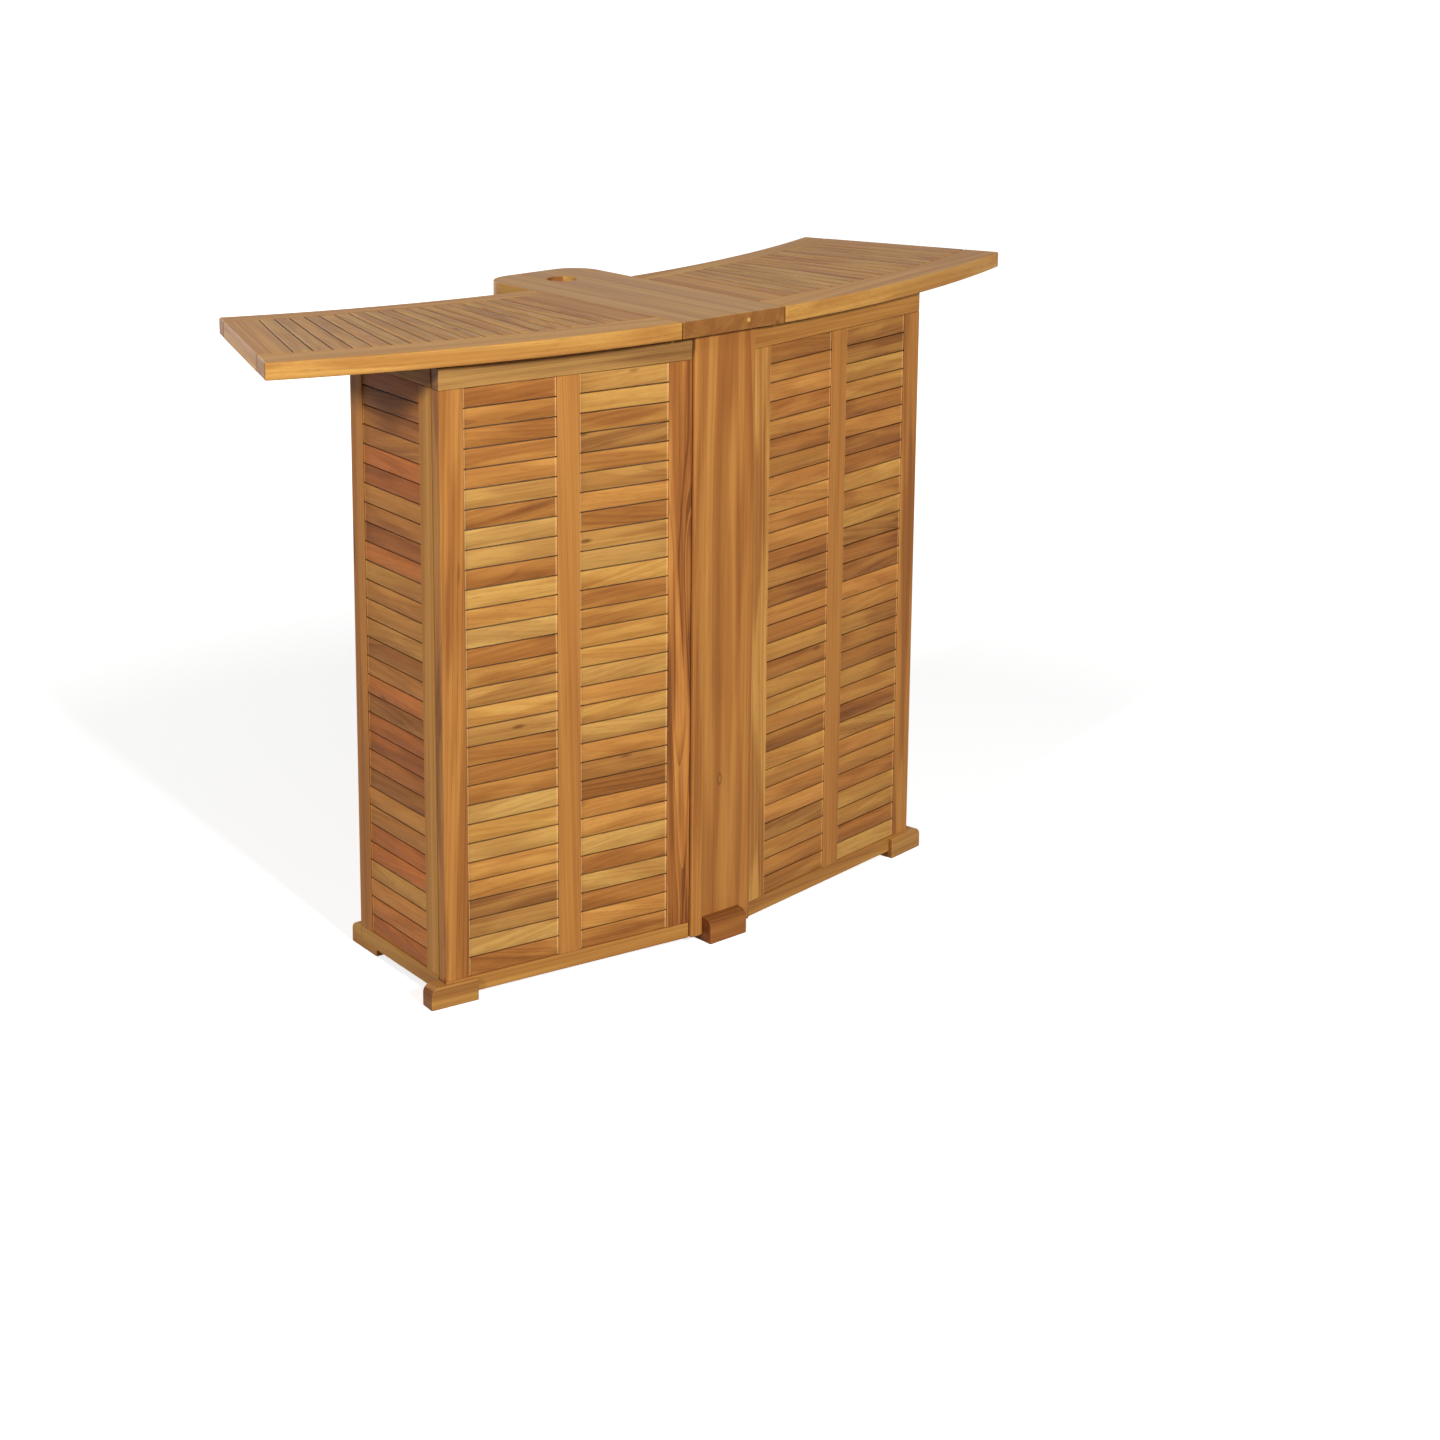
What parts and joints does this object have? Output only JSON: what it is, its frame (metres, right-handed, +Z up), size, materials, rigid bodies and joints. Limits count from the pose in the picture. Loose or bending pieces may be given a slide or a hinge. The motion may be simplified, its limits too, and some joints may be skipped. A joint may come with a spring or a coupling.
{
  "type": "folding bar table",
  "caption": "Folding garden bar table with a swept slatted top on a slim centre stand; slatted front panels and side wings hinge back so that it stores flat.",
  "frame": {"origin": "on the floor under the middle of the table's bounding box, in the open state", "axes": "+Z up, -Y towards the guests' side, +X to the right as seen from that side"},
  "size_m": [1.55, 0.516, 1.045],
  "materials": {
    "teak": "sanded and oiled",
    "hinge_metal": "satin zinc"
  },
  "bodies": {
    "centre_stand": {"centre_bearer": "teak", "centre_board": "teak", "centre_foot": "teak", "centre_post": "teak", "centre_stretcher": "teak", "left_leaf_hinge_board_leaves": "hinge_metal", "left_panel_hinge_post_leaves": "hinge_metal", "rear_upright": "teak", "right_leaf_hinge_board_leaves": "hinge_metal", "right_panel_hinge_post_leaves": "hinge_metal"},
    "left_leaf": {"left_leaf_back_rail": "teak", "left_leaf_end_rail": "teak", "left_leaf_front_rail": "teak", "left_leaf_hinge_leaf_leaves": "hinge_metal", "left_leaf_inner_rail": "teak", "left_leaf_slats": "teak"},
    "left_panel": {"left_panel_bottom_rail": "teak", "left_panel_foot": "teak", "left_panel_hinge_panel_leaves": "hinge_metal", "left_panel_inner_slats": "teak", "left_panel_inner_stile": "teak", "left_panel_mullion": "teak", "left_panel_outer_slats": "teak", "left_panel_outer_stile": "teak", "left_panel_top_rail": "teak", "left_wing_hinge_panel_leaves": "hinge_metal"},
    "left_wing": {"left_wing_bottom_rail": "teak", "left_wing_foot": "teak", "left_wing_front_stile": "teak", "left_wing_hinge_wing_leaves": "hinge_metal", "left_wing_rear_stile": "teak", "left_wing_slats": "teak", "left_wing_top_rail": "teak"},
    "right_leaf": {"right_leaf_back_rail": "teak", "right_leaf_end_rail": "teak", "right_leaf_front_rail": "teak", "right_leaf_hinge_leaf_leaves": "hinge_metal", "right_leaf_inner_rail": "teak", "right_leaf_slats": "teak"},
    "right_panel": {"right_panel_bottom_rail": "teak", "right_panel_foot": "teak", "right_panel_hinge_panel_leaves": "hinge_metal", "right_panel_inner_slats": "teak", "right_panel_inner_stile": "teak", "right_panel_mullion": "teak", "right_panel_outer_slats": "teak", "right_panel_outer_stile": "teak", "right_panel_top_rail": "teak", "right_wing_hinge_panel_leaves": "hinge_metal"},
    "right_wing": {"right_wing_bottom_rail": "teak", "right_wing_foot": "teak", "right_wing_front_stile": "teak", "right_wing_hinge_wing_leaves": "hinge_metal", "right_wing_rear_stile": "teak", "right_wing_slats": "teak", "right_wing_top_rail": "teak"}
  },
  "joints": [
    {"name": "left_panel_fold", "type": "hinge", "parent": "centre_stand", "child": "left_panel", "pos_m": [-0.07, -0.206, 0.489], "axis": [0, 0, -1], "range_deg": [0, 81.7]},
    {"name": "left_wing_fold", "type": "hinge", "parent": "left_panel", "child": "left_wing", "pos_m": [-0.48045, -0.14612, 0.489], "axis": [0, 0, -1], "range_deg": [0, 92.8]},
    {"name": "left_leaf_lift", "type": "hinge", "parent": "centre_stand", "child": "left_leaf", "pos_m": [-0.108, -0.0635, 1.0165], "axis": [0, 1, 0], "range_deg": [0, 3]},
    {"name": "right_panel_fold", "type": "hinge", "parent": "centre_stand", "child": "right_panel", "pos_m": [0.07, -0.206, 0.489], "axis": [0, 0, 1], "range_deg": [0, 81.7]},
    {"name": "right_wing_fold", "type": "hinge", "parent": "right_panel", "child": "right_wing", "pos_m": [0.48045, -0.14612, 0.489], "axis": [0, 0, 1], "range_deg": [0, 92.8]},
    {"name": "right_leaf_lift", "type": "hinge", "parent": "centre_stand", "child": "right_leaf", "pos_m": [0.108, -0.0635, 1.0165], "axis": [0, -1, 0], "range_deg": [0, 3]}
  ],
  "couplings": [
    {"joint": "left_wing_fold", "follows": "left_panel_fold", "ratio": 1.1346},
    {"joint": "right_wing_fold", "follows": "right_panel_fold", "ratio": 1.1346}
  ]
}
